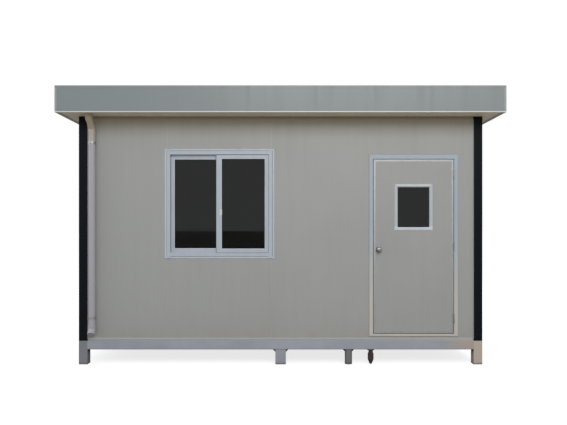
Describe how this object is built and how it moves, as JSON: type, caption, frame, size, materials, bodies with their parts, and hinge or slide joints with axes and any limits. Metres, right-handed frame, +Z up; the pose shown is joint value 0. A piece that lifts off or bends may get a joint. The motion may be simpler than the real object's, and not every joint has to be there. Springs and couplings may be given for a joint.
{
  "type": "portable panel cabin",
  "caption": "Flat-roofed portable cabin of sandwich panels on a short-legged steel base, with a boxed fascia, sliding window, downspout and a hinged door with a vision glass.",
  "frame": {"origin": "on the ground, at the centre of the cabin's footprint, level with the undersides of its legs", "axes": "+X to the right along the front wall, +Y from the front wall to the back wall, +Z up; the door and window face -Y"},
  "size_m": [4.776, 3.026, 3.011],
  "materials": {
    "galvanised_steel": "grey painted steel, satin",
    "gusset_primer": "dark primer, matt",
    "prop_steel": "dull grey steel pipe",
    "jack_paint": "dark maroon paint, worn",
    "plywood": "floor board, matt",
    "post_paint": "near-black paint, satin",
    "track_metal": "pre-painted folded sheet, satin",
    "panel_skin": "pre-painted steel skin, satin",
    "ceiling_skin": "white steel skin, satin",
    "roof_skin": "ribbed coated steel",
    "fascia_skin": "blue-grey coated sheet, satin",
    "edge_metal": "bright folded edge, satin",
    "soffit_board": "tan coated board, matt",
    "pipe_plastic": "white pipe, satin",
    "clip_metal": "zinc plated, dull",
    "white_profile": "white coated profile",
    "glass": "clear glass before a dark room",
    "latch_plastic": "white moulded plastic",
    "door_skin": "pre-painted steel skin, satin",
    "door_edge": "mill aluminium, satin",
    "hinge_metal": "brushed",
    "knob_metal": "dull stainless"
  },
  "bodies": {
    "cabin": {"legs": "galvanised_steel", "leg_gussets": "gusset_primer", "round_prop": "prop_steel", "screw_jack": "jack_paint", "base_beams": "galvanised_steel", "floor_joists": "galvanised_steel", "floor_deck": "plywood", "corner_posts": "post_paint", "wall_tracks": "track_metal", "left_front_panel": "panel_skin", "window_panel": "panel_skin", "middle_front_panel": "panel_skin", "door_panel": "panel_skin", "right_front_panel": "panel_skin", "back_wall_panels": "panel_skin", "end_wall_panels": "panel_skin", "wall_corner_trims": "track_metal", "ceiling_panels": "ceiling_skin", "roof_long_beams": "galvanised_steel", "roof_end_beams": "galvanised_steel", "rafters": "galvanised_steel", "roof_sheet": "roof_skin", "gutter_sole": "track_metal", "gutter_walls": "track_metal", "eave_brackets": "galvanised_steel", "soffit_long_boards": "soffit_board", "soffit_end_boards": "soffit_board", "soffit_ledges": "edge_metal", "long_fascias": "fascia_skin", "end_fascias": "fascia_skin", "roof_long_caps": "edge_metal", "roof_end_caps": "edge_metal", "fascia_corner_trims": "edge_metal", "downspout": "pipe_plastic", "downspout_clips": "clip_metal", "window_jambs": "white_profile", "window_head_and_sill": "white_profile", "rear_sash": "white_profile", "front_sash": "white_profile", "window_panes": "glass", "window_latch": "latch_plastic", "door_jambs": "white_profile", "door_head_and_threshold": "white_profile", "hinge_frame_leaves": "hinge_metal"},
    "door": {"hinge_door_leaves": "hinge_metal", "door_leaf": "door_skin", "door_edge_frame": "door_edge", "vision_beads": "white_profile", "vision_pane": "glass", "knob_rosettes": "knob_metal"},
    "knob": {"door_knob": "knob_metal"}
  },
  "joints": [
    {"name": "door_hinge", "type": "hinge", "parent": "cabin", "child": "door", "pos_m": [1.91125, -1.254, 1.302], "axis": [0, 0, 1], "range_deg": [0, 110]},
    {"name": "knob_turn", "type": "hinge", "parent": "door", "child": "knob", "pos_m": [1.083, -1.246, 1.2655], "axis": [0, 1, 0], "range_deg": [-60, 60], "stiffness_Nm_per_rad": 0.4}
  ]
}
